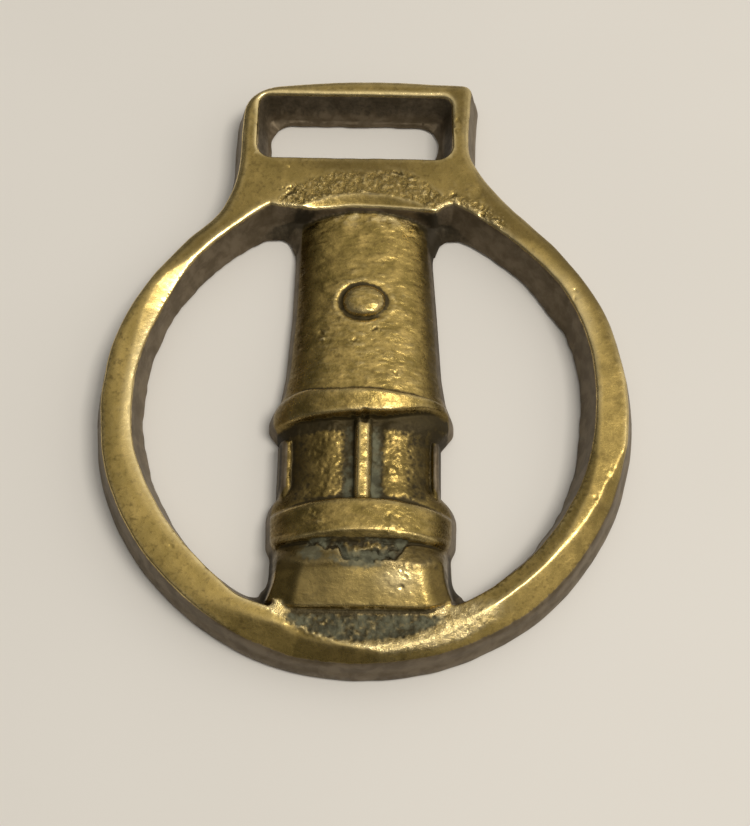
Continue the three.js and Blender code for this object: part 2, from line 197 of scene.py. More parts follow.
def uneven(radius, angle, swells):
    """A radius with bells round the circle added to it."""
    for height, place, width in swells:
        radius = radius + height * turn(angle, place, width)
    return radius


def lumps(x, y, size, seed):
    """Value noise from -1 to 1: random heights on a square lattice, joined by an S curve each way."""
    rng = np.random.default_rng(seed)
    table = rng.uniform(-1, 1, (256, 256))
    u, v = x / size + 1000.37, y / size + 1000.71
    i, j = np.floor(u).astype(int), np.floor(v).astype(int)
    fu, fv = u - i, v - j
    fu, fv = fu * fu * fu * (fu * (fu * 6 - 15) + 10), fv * fv * fv * (fv * (fv * 6 - 15) + 10)
    i0, i1, j0, j1 = i % 256, (i + 1) % 256, j % 256, (j + 1) % 256
    low = table[i0, j0] * (1 - fu) + table[i1, j0] * fu
    high = table[i0, j1] * (1 - fu) + table[i1, j1] * fu
    return low * (1 - fv) + high * fv


def grain(x, y, size, seed):
    """Three layers of lumps, each half the size and the height of the one before."""
    total, share = 0, 1.0
    for n in range(3):
        total = total + share * lumps(x, y, size / 2 ** n, seed + 17 * n)
        share *= 0.5
    return total / 1.75


def blurred(field, width):
    """The field smoothed by a bell of that width in millimetres."""
    fy = np.fft.fftfreq(field.shape[0], STEP)[:, None]
    fx = np.fft.rfftfreq(field.shape[1], STEP)[None, :]
    damping = np.exp(-2 * (np.pi * width) ** 2 * (fx ** 2 + fy ** 2))
    return np.fft.irfft2(np.fft.rfft2(field) * damping, field.shape)


def blurred_rows(field, width):
    """The field smoothed along Y alone: each row is a bell-weighted mean of the rows round it."""
    reach = max(1, int(round(3 * width / STEP)))
    taps = np.exp(-0.5 * (np.arange(-reach, reach + 1) * STEP / width) ** 2)
    taps /= taps.sum()
    padded = np.pad(field, ((reach, reach), (0, 0)), "edge")
    return sum(t * padded[i:i + field.shape[0]] for i, t in enumerate(taps))


def bezier(p0, p1, p2, n=14):
    """Points of a quadratic curve, without its last."""
    t = np.linspace(0, 1, n, endpoint=False)[:, None]
    return (1 - t) ** 2 * np.array(p0) + 2 * t * (1 - t) * np.array(p1) + t ** 2 * np.array(p2)


def inside_polygon(x, y, corners):
    """Signed distance to a closed outline, positive inside: the least distance to its sides, with the
    sign from counting the sides that a ray to the right crosses."""
    best = np.full(x.shape, 1e9)
    odd = np.zeros(x.shape, bool)
    for (ax, ay), (bx, by) in zip(corners, np.roll(corners, -1, 0)):
        ex, ey = bx - ax, by - ay
        px, py = x - ax, y - ay
        t = np.clip((px * ex + py * ey) / (ex * ex + ey * ey + 1e-12), 0, 1)
        best = np.minimum(best, (px - t * ex) ** 2 + (py - t * ey) ** 2)
        odd ^= ((ay > y) != (by > y)) & (px < (y - ay) * ex / (ey if ey else 1e-12))
    return np.sqrt(best) * np.where(odd, 1, -1)


def outside_box(x, y, left, right, bottom, top, corner):
    """Signed distance to a rectangle with round corners, positive outside it."""
    cx, cy = (left + right) / 2, (bottom + top) / 2
    qx = np.abs(x - cx) - (right - left) / 2 + corner
    qy = np.abs(y - cy) - (top - bottom) / 2 + corner
    return np.hypot(np.maximum(qx, 0), np.maximum(qy, 0)) + np.minimum(np.maximum(qx, qy), 0) - corner


# ---- the outline ----

def ring_outer(angle):
    """Radius of the ring's outer front edge: a circle, a little flatter at the upper left."""
    return uneven(RING_R, angle, RING_SWELLS)


def hanger_outline():
    """Shoulder and strap hanger: flares that leave the ring along its tangents, and the hanger's box."""
    def on_ring(deg):
        """The point of the ring's edge at an angle: its middle plus the radius turned by the angle."""
        a, r = math.radians(deg), float(ring_outer(deg))
        return np.array([RING_X + r * math.cos(a), RING_Y + r * math.sin(a)])

    def corner(deg, side):
        """Where the ring's tangent at an angle crosses the line x = side."""
        a, p = math.radians(deg), on_ring(deg)
        return [side, p[1] + (p[0] - side) / math.tan(a)]

    left_at, right_at = 132, 46
    left, right = on_ring(left_at), on_ring(right_at)
    return np.concatenate([
        bezier(right, corner(right_at, 14.9), (14.8, 40.5)),
        bezier((14.8, 40.5), (14.9, 46), (15.3, 49.5), 4),
        bezier((15.3, 49.5), (15.7, 51.35), (14.0, 51.45), 8),
        bezier((14.0, 51.45), (-1, 52.6), (-12.6, 51.0), 14),
        bezier((-12.6, 51.0), (-18.3, 50.5), (-18.75, 46.2), 12),
        bezier((-18.75, 46.2), (-19.0, 42.5), (-18.95, 38.6), 5),
        bezier((-18.95, 38.6), corner(left_at, -19.3), left, 18),
        [left, (-18, 10), (18, 10)],
    ])


def outline_fields(x, y):
    """Distances to the plate's edges, each positive in the metal: `outer` from the outer edge, `front` and
    `back` from the opening at the face and at the table. With them comes the angle round the ring."""
    from_middle, angle = polar(x, y, (RING_X, RING_Y))
    wobble = 0.10 * lumps(x, y, 6.0, 3) + 0.05 * lumps(x, y, 2.2, 4)
    outer = ring_outer(angle) - from_middle
    upper = y > 20
    hanger = np.full(x.shape, -50.0)
    hanger[upper] = inside_polygon(x[upper], y[upper], hanger_outline())
    outer = np.maximum(outer, hanger) + wobble

    radius, at = polar(x, y, OPENING_FRONT)
    front = radius - uneven(FRONT_R, at, FRONT_SWELLS)
    lip_edge = np.convolve(np.pad(along(x[0], LIP_EDGE), 4, "edge"), np.ones(9) / 9, "valid")
    front = np.maximum(front, y - lip_edge[None, :]) + 0.8 * wobble
    radius, at = polar(x, y, OPENING_BACK)
    back = radius - uneven(BACK_R, at, BACK_SWELLS)
    back = back + 0.16 * lumps(x, y, 3.1, 5) + 0.10 * lumps(x, y, 1.2, 6)
    back = np.maximum(back, front + np.where(y > 25, 1.3, 0.6))

    # The ring runs on under the lamp's foot.
    under_foot = np.minimum(11.6 - np.abs(x - 0.3), -28.6 - y)
    front = high_of(front, under_foot, 0.8)
    back = high_of(back, under_foot + 1.3, 0.8)
    return dict(angle=angle, outer=outer, front=front, back=back)


# ---- the lamp ----

def foot_line(x):
    """Where the lamp's foot meets the ring: straight, and higher towards its ends."""
    return FOOT_Y + 1.2 * ramp(8.0, 13.0, np.abs(x))


def lip_line(x, top):
    """The arch of the plate's lip over the lamp: a flat parabola below its top."""
    return top - 0.0255 * (x + 0.3) ** 2


def top_collar_line(x, at):
    """A line along the upper collar's lower rim: it leans up to the right, and more so beyond x = 3."""
    return at + 0.05 * x + 1.1 * ramp(3.0, 10.5, x)


def lamp_heights(x, y):
    """Height of the lamp's surface: a section of half width w(y), a crown height c(y) and the squareness
    n(y), as c * (1 - |x / w| ** n) ** (1 / n), cut by drafted side walls."""
    row = y[:, :1]
    left, right = (blurred_rows(along(row, side), 0.35) for side in (LEFT_SIDE, RIGHT_SIDE))
    width = np.where(x < 0, left, right)
    u = np.clip(np.abs(x) / width, 0, 0.9999)

    # Each collar lies between two rims: `t` runs from 0 at its lower rim to 1 at its upper one. On the lower
    # collar 0 is the ridge just above the lower rim, which is at -1.
    top_low = top_collar_line(x, -3.42)
    top_high = 0.25 - 0.75 * u ** 2 + 0.65 * bell(x, -8.5, 2.6) - 0.2 * bell(x, 6.0, 3.0)
    t = (y - top_low) / (top_high - top_low)
    top_collar = along(t, TOP_COLLAR)
    low_ridge = -20.05 - 0.0085 * (x - 1.5) ** 2
    low_high = -15.3 - 1.7 * u ** 2
    t = (y - low_ridge) / np.where(y < low_ridge, low_ridge - LOW_COLLAR_EDGE, low_high - low_ridge)
    low_collar = along(t, LOW_COLLAR)
    glass = 7.6 - 0.28 * bell(np.abs(x - PILLARS[1]), 2.0, 1.3) + 0.15 * bell(np.abs(x), 5.2, 2.4)
    crown = np.where(y > -2, along(y, BONNET), glass)
    crown = np.where(y <= -20.6, along(y - foot_line(x), VESSEL), crown)
    on_top_collar = (y > top_low - 0.8) & (y < top_high + 0.5)
    crown = np.where(on_top_collar, np.maximum(crown, top_collar), crown)
    on_low_collar = (y > LOW_COLLAR_EDGE - 0.3) & (y < low_high + 0.4)
    crown = np.where(on_low_collar, np.maximum(crown, low_collar), crown)
    crown = blurred_rows(crown, 0.12)

    square = along(row, SQUARENESS)
    section = crown * (1 - u ** square) ** (1 / square)

    # The vessel's filed face is one flat plane that leans down to the ring, with softer cheeks beside it.
    filed = 8.75 + (y - FILED_Y) * 0.33 - 0.004 * x ** 2
    cheek = filed - 0.50 * (np.abs(x - 0.1) - along(y, FILED_SIDE)) - 0.05
    section = np.where(y < -22.6, low_of(low_of(section, filed, 0.12), cheek, 0.25), section)

    # The bonnet's end is round.
    end = 32.45 - 0.031 * (x + 0.6) ** 2
    section = np.where(y > 24, low_of(section, 2.4 + 3.0 * np.maximum(end - y, -0.6), 0.7), section)

    wall = (width - np.abs(x)) * 5.0
    return low_of(section, wall, 1.5), width, u


# ---- the plate ----

def ring_face(x, y, f):
    """The plate's flat face. Beside each edge it falls by a slope times the distance inside the bevel's
    width, and over the lamp it falls from the lip's crease to the lip's edge."""
    out_width, out_slope = by_angle(f["angle"], OUTER_BEVEL), by_angle(f["angle"], OUTER_SLOPE)
    in_width, in_slope = by_angle(f["angle"], INNER_BEVEL), by_angle(f["angle"], INNER_SLOPE)
    f["out_bevel"] = ramp(0.0, 0.35, out_width - f["outer"])
    f["in_bevel"] = ramp(0.0, 0.30, in_width - f["front"])
    softness = 0.10 + 0.30 * turn(f["angle"], -150, 30) + 0.10 * turn(f["angle"], -55, 20)
    face = low_of(np.full(x.shape, PLATE), PLATE - out_slope * (out_width - f["outer"]), softness)
    inner = PLATE - in_slope * (in_width - f["front"])
    face = np.where(y < 32.5, low_of(face, inner, 0.10), face)
    crease = lip_line(x, LIP_Y)
    on_lip = (np.abs(x) < 10.5) & (y < crease + 0.5) & (y > 26)
    return np.where(on_lip, low_of(face, PLATE - 0.48 * (crease - y), 0.06), face)


def hanger_hollow(x, y):
    """The hanger's pocket and the slot through its thin floor: the distance outside the pocket's mouth, and
    the height inside it, which rises straight from the floor's edge to the mouth."""
    mouth = outside_box(x, y, *POCKET, np.where(y > 44, 1.7, 2.5)) + 0.06 * lumps(x, y, 2.0, 31)
    floor = outside_box(x, y, *POCKET_FLOOR, 0.9) + 0.1 * lumps(x, y, 1.6, 32)
    slot_corner = np.where(y > 44.2, 3.2, np.where(x > -2, 2.2, 1.2))
    slot = outside_box(x, y, *SLOT, slot_corner) + 0.10 * lumps(x, y, 1.9, 33)
    height = FLOOR + (PLATE - FLOOR) * floor / np.maximum(floor - mouth, 0.05)
    height = np.where(floor < 0, FLOOR + 0.5 * floor, height)
    slot_wall = 9.0 * slot
    return mouth, low_of(height, slot_wall, 0.5)


def plate_heights(x, y, f):
    """Ring, shoulder and hanger: the lowest of the face, the outer wall with the mould's seam along it, the
    opening's wall and the hanger's hollow, and sunk a little at the lamp's foot."""
    outer, front, back, at_lip = f["outer"], f["front"], f["back"], f["lip"]
    beyond = -outer
    outer_wall = PLATE * (1 - beyond / WALL_DRAFT)
    outer_wall = outer_wall - 0.18 * bell(beyond, 0.86, 0.18) + 0.18 * bell(beyond, 1.15, 0.2)
    span = back - front
    inner_wall = PLATE * back / span - 0.08 * bell(back, 0.55 * span, 0.18)

    plate = low_of(ring_face(x, y, f), outer_wall, 0.75)
    plate = low_of(plate, inner_wall, 0.5 - 0.25 * at_lip) + 0.10 * bell(front, 0.22, 0.14) * at_lip
    mouth, hollow = hanger_hollow(x, y)
    plate = np.where(y > 44, low_of(plate, PLATE - 0.32 * (0.5 - mouth), 0.05), plate)
    plate = np.where(y > 36, low_of(plate, hollow, 0.5), plate)
    f["mouth"] = mouth
    f["pocket"] = ramp(0.1, -0.3, mouth) * (y > 34)
    f["strip"] = bell(mouth, 0.22, 0.24) * ramp(46, 48, y)
    f["foot"] = ramp(0.0, 0.6, 1 - ((x - 0.8) / 12.6) ** 2 - ((y + 29.9 - 0.02 * x) / 5.0) ** 2) * (y < 0)
    return plate - 0.55 * f["foot"]


def web_heights(y, lamp_in, f):
    """The low webs in the corners of the openings: they rise by 1 - exp(-distance) to their full height."""
    reach = high_of(np.where(np.abs(y) < 36, lamp_in, NO_METAL), f["back"], np.where(y > 0, 6.5, 3.6))
    web = 2.7 * (1 - np.exp(-1.5 * np.maximum(reach, -0.5)))
    return np.where((f["back"] < 4) & (f["outer"] > 0.5), web, NO_METAL)


# ---- marks on the front: each takes the height so far and returns the new one ----

def with_boss(x, y, h):
    """Boss on the bonnet: a dome c * (1 - r ** n) ** m in its dark groove, which is a bell of the radius."""
    r = np.hypot(x + 0.15, (y - 14.85) * 1.17) + 0.07 * lumps(x, y, 1.3, 35)
    groove = 0.12 + 0.16 * ramp(1.5, -2.5, x + y - 14.8) + 0.09 * lumps(x, y, 1.1, 70)
    edge = 3.1
    dome = 0.95 * (1 - np.clip(r / edge, 0, 1) ** 2.8) ** 0.62
    return h + np.where(r < edge, dome, 0) - groove * bell(r, 3.42, 0.50) + 0.05 * bell(r, 4.4, 0.35)


def with_pillars(x, y, h):
    """Guard pillars over the glass: each is a flat-topped ridge, top - a * |x| ** n, where it stands above
    what lies below it."""
    between = ramp(GLASS_Y[0], -15.1, y) * ramp(GLASS_Y[1], -4.2, y) * (np.abs(x) < 12)
    below_rim = 9 * (1 - ramp(-5.3, -5.9, y))

    def side_pillar(place, half, seed):
        """A pillar at the glass's side, with rounder edges."""
        ridge = 4.5 - 0.8 * np.clip(np.abs(x - place) / half, 0, 3) ** 3
        return ridge + 0.12 * lumps(x, y, 1.0, seed) - below_rim

    from_middle = x - PILLARS[1]
    middle = 8.95 - 0.55 * np.clip(np.abs(from_middle) / 0.98, 0, 3) ** 4.5 - 0.16 * from_middle
    middle = middle + 0.05 * lumps(x, y, 1.1, 36)
    left, right = side_pillar(PILLARS[0], 0.95, 37), side_pillar(PILLARS[2], 0.60, 38)
    for bar, place in zip((middle, left, right), (PILLARS[1], PILLARS[0], PILLARS[2])):
        h = h + np.maximum(bar - h, 0) * between * (np.abs(x - place) < 2)
    # A notch in the collar's edge over the middle pillar.
    return h - 0.9 * np.clip(1 - np.abs(x - 0.3) / 0.65, 0, 1) * ramp(-2.8, -3.5, y) * ramp(-4.9, -4.2, y)


def with_crack(x, y, h, f):
    """The crack and its chipped edge under the lower collar: plates of crust with dark lines between them,
    along the places where slow noise passes through nought."""
    crack_y = along(x[0], CRACK)[None, :] + 0.22 * lumps(x + 0.4 * y, y, 0.9, 41)
    crack_y = crack_y + 0.14 * lumps(x, y + 0.3 * x, 0.35, 43)
    inside = ramp(-7.4, -6.3, x) * ramp(6.9, 5.8, x)
    f["crack"] = bell(y, crack_y, 0.15) * inside * (0.7 + 0.5 * lumps(x, y, 0.8, 46))
    f["chipped"] = inside * ramp(-0.05, 0.35, y - crack_y) * ramp(-20.75, -21.15, y)
    bent_x = 0.80 * x + 0.45 * y + 0.40 * lumps(x, y, 1.1, 45)
    bent_y = 1.25 * y - 0.50 * x + 0.40 * lumps(x, y, 0.9, 49)
    crust = lumps(bent_x, bent_y, 1.5, 44)
    f["crust"] = crust
    h = h - 0.60 * f["crack"]
    groove = bell(y, LOW_COLLAR_EDGE + 0.1 * lumps(x, y, 1.6, 47), 0.22)
    h = h - 0.30 * groove * (1 - inside) * (np.abs(x) < 11.8)
    flaking = 0.20 + 0.30 * bell(crust, 0.05, 0.07) - 0.24 * crust + 0.13 * grain(x, y, 0.6, 48)
    return h - f["chipped"] * flaking


def rough_patch(x, y):
    """The rough-cast patch above the lamp, as a share: all between the lip's crease and an arc over it."""
    upper = along(x[0], PATCH_TOP)[None, :]
    edge = 0.5 * lumps(x, y, 1.3, 21)
    across = ramp(-13.8, -12.6, x) * ramp(13.0, 12.0, x)
    return ramp(-0.3, 0.5, y - lip_line(x, LIP_Y)) * ramp(-0.4, 0.5, upper + edge - y) * across


def with_rough_casting(x, y, h, f):
    """Rough-cast places, as grain on the height: above the lip, along the right shoulder's edge, and round
    and in the hollow at the lamp's foot."""
    outer, front = f["outer"], f["front"]
    wedge = ramp(0.0, 0.9, x - 16.3 - 0.26 * (33.9 - y)) * ramp(24.0, 26.5, y)
    sandy = ramp(11.5, 13.0, x) * (1 - wedge) * ramp(35.6, 33.6, y + 0.25 * (x - 12))
    sandy = sandy * ramp(0.3, 0.9, outer) * ramp(25.0, 26.5, y)
    by_edge = bell(front, 0.9, 0.75) * ramp(10.5, 11.5, x) * ramp(20.8, 19.2, x) * ramp(25, 26.5, y)
    above_border = ramp(-0.2, 0.4, y - along(x[0], FOOT_BORDER)[None, :])
    sparkle = (1 - f["proud"]) * above_border * ramp(-15.5, -12, x) * ramp(21, 15, x)
    sparkle = sparkle * ramp(-27.6, -29.5, y) * ramp(-0.1, 0.4, front)
    pebbled = np.clip(f["foot"] * 1.3, 0, 1) * ramp(-30.0, -30.8, y)
    patch = rough_patch(x, y)
    coarse = np.clip(patch + by_edge + 0.45 * sandy, 0, 1)
    f["rough"] = np.clip(patch + by_edge + sparkle, 0, 1)
    f.update(wedge=wedge, coarse=coarse, sparkle=sparkle, pebbled=pebbled)
    h = h + coarse * (0.11 * grain(x, y, 0.95, 51) + 0.05 * lumps(x, y, 0.42, 54)) - 0.08 * coarse
    h = h + 0.085 * sparkle * grain(x, y, 0.55, 52)
    return h + 0.09 * pebbled * lumps(x, y, 0.42, 53)


def with_pits(x, y, h):
    """Pits and specks: a ragged bell at each place of the table."""
    ragged = 1 + 0.7 * lumps(x + 0.3 * y, y, 0.33, 55)
    for px, py, radius, depth in PITS:
        near = np.hypot(x - px, y - py) * ragged
        h = h - 0.7 * depth * np.exp(-(near / radius) ** 2)
    return h


def with_old_skin(x, y, h, lamp_in, f):
    """Uneven old surface, as noise on the height: broad waves on the faces, finer lumps on the lamp."""
    on_lamp = ramp(0.0, 1.2, lamp_in) * ramp(-30.5, -30, y) * ramp(30.6, 30, y)
    solid = ramp(0.4, 1.6, h)
    calm = on_lamp * (1 - 0.65 * ramp(-22.0, -24.5, y))
    on_bonnet = 0.030 * ramp(0.5, 1.5, y)
    waves = 0.045 * grain(x, y, 5.0, 61)
    waves = waves + calm * (0.050 + on_bonnet) * grain(x * 0.7, y * 1.2, 1.8, 62)
    waves = waves + calm * (0.045 + on_bonnet) * grain(x * 0.55, y * 1.3, 0.75, 65)
    waves = waves + 0.014 * grain(x, y, 0.8, 63)
    h = h + solid * waves
    on_collars = ramp(-4.2, -3.6, y) * ramp(0.6, 0.1, y) + ramp(-21.0, -20.0, y) * ramp(-15.2, -15.8, y)
    h = h + 0.035 * (on_lamp * on_collars) * grain(x * 0.7, y, 1.1, 67)
    glass = on_lamp * ramp(-15.4, -14.8, y) * ramp(-3.8, -4.4, y)
    glass = glass * ramp(1.0, 1.4, np.abs(x - PILLARS[1])) * ramp(9.6, 8.6, np.abs(x + 0.2))
    f.update(lamp=on_lamp, glass=glass)
    return h + glass * (0.13 * grain(x, y, 1.1, 64) + 0.05 * lumps(x, y, 0.38, 66))


def front_heights(x, y):
    """Height of the casting's front over the grid: plate, lamp and webs joined by smooth maxima, then one
    kind of mark after another. With it come the shares of the places that the finishes need."""
    f = outline_fields(x, y)
    f["lip"] = ramp(11.5, 9.5, np.abs(x)) * ramp(26, 28, y)
    plate = plate_heights(x, y, f)
    lamp, width, f["u"] = lamp_heights(x, y)
    lamp_in = width - np.abs(x)
    lamp = np.where(y > foot_line(x), lamp, np.minimum(lamp, 3.0))
    lamp = np.where(np.abs(y) < 33.0, lamp, NO_METAL)
    web = web_heights(y, lamp_in, f)
    h = high_of(plate, lamp, 0.35)
    f["corner"] = ramp(-0.3, 0.3, web - h)
    proud = ramp(0.0, 0.5, lamp - plate)
    f["proud"] = proud
    h = high_of(h, web, 0.6)

    h = with_boss(x, y, h)
    h = with_pillars(x, y, h)
    h = with_crack(x, y, h, f)
    h = with_rough_casting(x, y, h, f)
    h = with_pits(x, y, h)
    h = with_old_skin(x, y, h, lamp_in, f)

    edge = np.minimum(f["outer"], f["front"])
    wall = ramp(0.10, -0.25, edge) * (1 - proud) + ramp(1.25, 0.55, lamp_in) * proud
    f["wall"] = np.maximum(wall, ramp(0.0, -0.25, f["mouth"]) * (y > 34))
    return h, f


# ---- skin of the casting ----

def skin(x, y, h):
    """The closed surface between the front, z = h(x, y), and the flat back. The grid is cut along the line
    where h = RIM: each of its triangles keeps the part with h above RIM, with new corners where its sides
    cross that line. Front and back share those corners, and the back curls up to them."""
    ny, nx = h.shape
    number = np.arange(ny * nx).reshape(ny, nx)
    a, b, c, d = (number[:-1, :-1], number[:-1, 1:], number[1:, 1:], number[1:, :-1])
    even = (np.add.outer(np.arange(ny - 1), np.arange(nx - 1)) % 2 == 0)
    first = np.where(even[..., None], np.stack([a, b, c], -1), np.stack([a, b, d], -1)).reshape(-1, 3)
    second = np.where(even[..., None], np.stack([a, c, d], -1), np.stack([b, c, d], -1)).reshape(-1, 3)
    tri = np.concatenate([first, second])

    s = (h - RIM).ravel()
    s = np.where(np.abs(s) < 1e-3, 1e-3, s)
    keep = s > 0
    count = keep[tri].sum(1)
    whole = tri[count == 3]

    def rolled(rows, lone_inside):
        """Rows turned so that the odd one out comes first."""
        flag = keep[rows] if lone_inside else ~keep[rows]
        shift = flag.argmax(1)
        return rows[np.arange(len(rows))[:, None], (shift[:, None] + np.arange(3)) % 3]

    one = rolled(tri[count == 1], True)
    two = rolled(tri[count == 2], False)
    edges = np.concatenate([one[:, [0, 1]], one[:, [0, 2]], two[:, [1, 0]], two[:, [2, 0]]])
    key = np.sort(edges, 1)
    key = key[:, 0].astype(np.int64) * (ny * nx) + key[:, 1]
    unique, where = np.unique(key, return_inverse=True)
    where = where.ravel()
    p, q = unique // (ny * nx), unique % (ny * nx)
    t = s[p] / (s[p] - s[q])
    xs, ys = x.ravel(), y.ravel()
    rim = np.stack([xs[p] + t * (xs[q] - xs[p]), ys[p] + t * (ys[q] - ys[p]), np.full(len(p), RIM)], 1)

    used = np.unique(np.concatenate([whole.ravel(), one[:, 0], two[:, 1:].ravel()]))
    front_of = np.full(ny * nx, -1)
    front_of[used] = np.arange(len(used))
    rim_start = len(used)
    back_start = rim_start + len(rim)
    m, n = len(one), len(two)
    e = where + rim_start
    one_ab, one_ac, two_ba, two_ca = e[:m], e[m:2 * m], e[2 * m:2 * m + n], e[2 * m + n:]

    def corners(shift):
        """All triangles of the front, or with a shift those of the back: whole ones, and the cut ones'
        kept corner or kept pair joined to the rim."""
        f = front_of + shift
        return np.concatenate([
            f[whole],
            np.stack([f[one[:, 0]], one_ab, one_ac], 1),
            np.stack([f[two[:, 1]], f[two[:, 2]], two_ca], 1),
            np.stack([f[two[:, 1]], two_ca, two_ba], 1),
        ])

    gy, gx = np.gradient(h, STEP)
    clear = (h - RIM) / np.clip(np.hypot(gx, gy), 1.0, 12.0)
    curl = 1 - np.clip(clear.ravel()[used] / CURL, 0, 1)
    under = RIM * (1 - np.sqrt(np.clip(1 - curl ** 2, 0, 1)))
    as_cast = 0.06 * (1 + grain(xs[used], ys[used], 2.6, 71)) * (1 - curl)
    top = np.stack([xs[used], ys[used], h.ravel()[used]], 1)
    bottom = np.stack([xs[used], ys[used], under + as_cast], 1)
    points = np.concatenate([top, rim, bottom])
    faces = np.concatenate([corners(0), corners(back_start)[:, ::-1]])
    return points, faces


def mesh_piece(name, points, faces):
    """An object in the scene from corner points and triangles."""
    mesh = bpy.data.meshes.new(name)
    mesh.vertices.add(len(points))
    mesh.vertices.foreach_set("co", points.astype(np.float32).ravel())
    mesh.loops.add(faces.size)
    mesh.loops.foreach_set("vertex_index", faces.astype(np.int32).ravel())
    mesh.polygons.add(len(faces))
    mesh.polygons.foreach_set("loop_start", np.arange(0, faces.size, 3, dtype=np.int32))
    mesh.update(calc_edges=True)
    mesh.validate()
    piece = bpy.data.objects.new(name, mesh)
    bpy.context.scene.collection.objects.link(piece)
    return piece


def thinned(piece, most):
    """Merges the faces of the flattest places until no more than `most` triangles are left."""
    count = len(piece.data.polygons)
    if count > most:
        fewer = piece.modifiers.new("thin", "DECIMATE")
        fewer.ratio = most / count
        graph = bpy.context.evaluated_depsgraph_get()
        mesh = bpy.data.meshes.new_from_object(piece.evaluated_get(graph))
        piece.modifiers.clear()
        piece.data = mesh
    return piece


def at_corners(mesh, name):
    """One row of three numbers for each vertex of the mesh: its place, "co", or its "normal"."""
    values = np.empty(len(mesh.vertices) * 3, np.float32)
    mesh.vertices.foreach_get(name, values)
    return values.reshape(-1, 3)


def sampled(field, px, py, x, y):
    """The grid field read at loose points, straight between grid lines."""
    u = np.clip((px - x[0, 0]) / STEP, 0, field.shape[1] - 1.001)
    v = np.clip((py - y[0, 0]) / STEP, 0, field.shape[0] - 1.001)
    i, j = v.astype(int), u.astype(int)
    fv, fu = v - i, u - j
    return ((field[i, j] * (1 - fu) + field[i, j + 1] * fu) * (1 - fv)
            + (field[i + 1, j] * (1 - fu) + field[i + 1, j + 1] * fu) * fv)


# ---- where each finish, painted highlight and painted shade lies ----

def wear_and_highlight_share(x, y, h, f):
    """Bright worn metal on ridges, and painted highlights: how far a point stands above its blurred
    surroundings, less in each calm place, and more in each place that is rubbed or filed. Painted highlights
    lie on the ring's inner edge at the upper left, the upper right and the far left, and on the vessel's
    filed face."""
    angle, outer, front = f["angle"], f["outer"], f["front"]
    proud, blotch = f["proud"], f["blotch"]
    wear_and_highlight = np.clip(-f["fine"] / 0.13, 0, 1) * ramp(5.2, 6.0, h) * (0.35 + 0.9 * blotch)
    hanger_edge = np.maximum(0.5 * bell(x, 13.0, 1.0), bell(y, 38.1, 0.9) * (np.abs(x + 2) < 16))
    calm_places = [
        proud * ramp(0.70, 0.85, f["u"]),
        0.8 * f["glass"],
        0.50 * proud * (y < 2),
        0.6 * turn(angle, -150, 45) * (outer < 1),
        0.9 * turn(angle, 34, 24) * (outer < 1.5),
        0.8 * proud * bell(y - foot_line(x), 0.9, 0.8),
        0.8 * turn(angle, -18, 12),
        0.8 * (y > 38) * hanger_edge,
        0.85 * f["side_bars"],
    ]
    for place in calm_places:
        wear_and_highlight = wear_and_highlight * (1 - place)

    fleck = 0.5 + 0.5 * grain(x, y, 0.7, 83)
    bonnet_end = proud * ramp(27.0, 29.8, y) * ramp(6.5, 4.0, np.abs(x - 0.8)) * ramp(0.45, 0.70, fleck)
    filed_foot = 0.10 * ramp(-24.5, -25.5, y) * ramp(9, 7, np.abs(x))
    rubbed_and_highlit_places = [
        f["lip"] * bell(front, 0.16, 0.16) * 0.9,
        f["strip"] * 0.9,
        f["sparkle"] * (1 - 0.8 * f["pebbled"]) * (0.40 + 0.9 * ramp(0.38, 0.66, fleck)),
        # painted highlight on the upper left facet of the ring's inner edge
        0.05 * f["in_bevel"] * turn(angle, 150, 10) * (front > -0.1),
        # painted highlight along the upper right of the ring's inner edge
        0.45 * turn(angle, 27, 10) * bell(front, 0.8, 0.8) * (front > -0.1),
        bonnet_end * 0.9,
        # painted highlight on the vessel's filed face, with wear over the face's lower part
        proud * (spot(x, y, (5.0, -26.2), (1.5, 1.0), 1.5) * 0.9 + filed_foot),
        # painted highlight along the far left of the ring's inner edge
        turn(angle, 178, 30) * bell(front, 0.5, 0.7) * 0.5 * (front > -0.1),
    ]
    return sum(rubbed_and_highlit_places, wear_and_highlight)


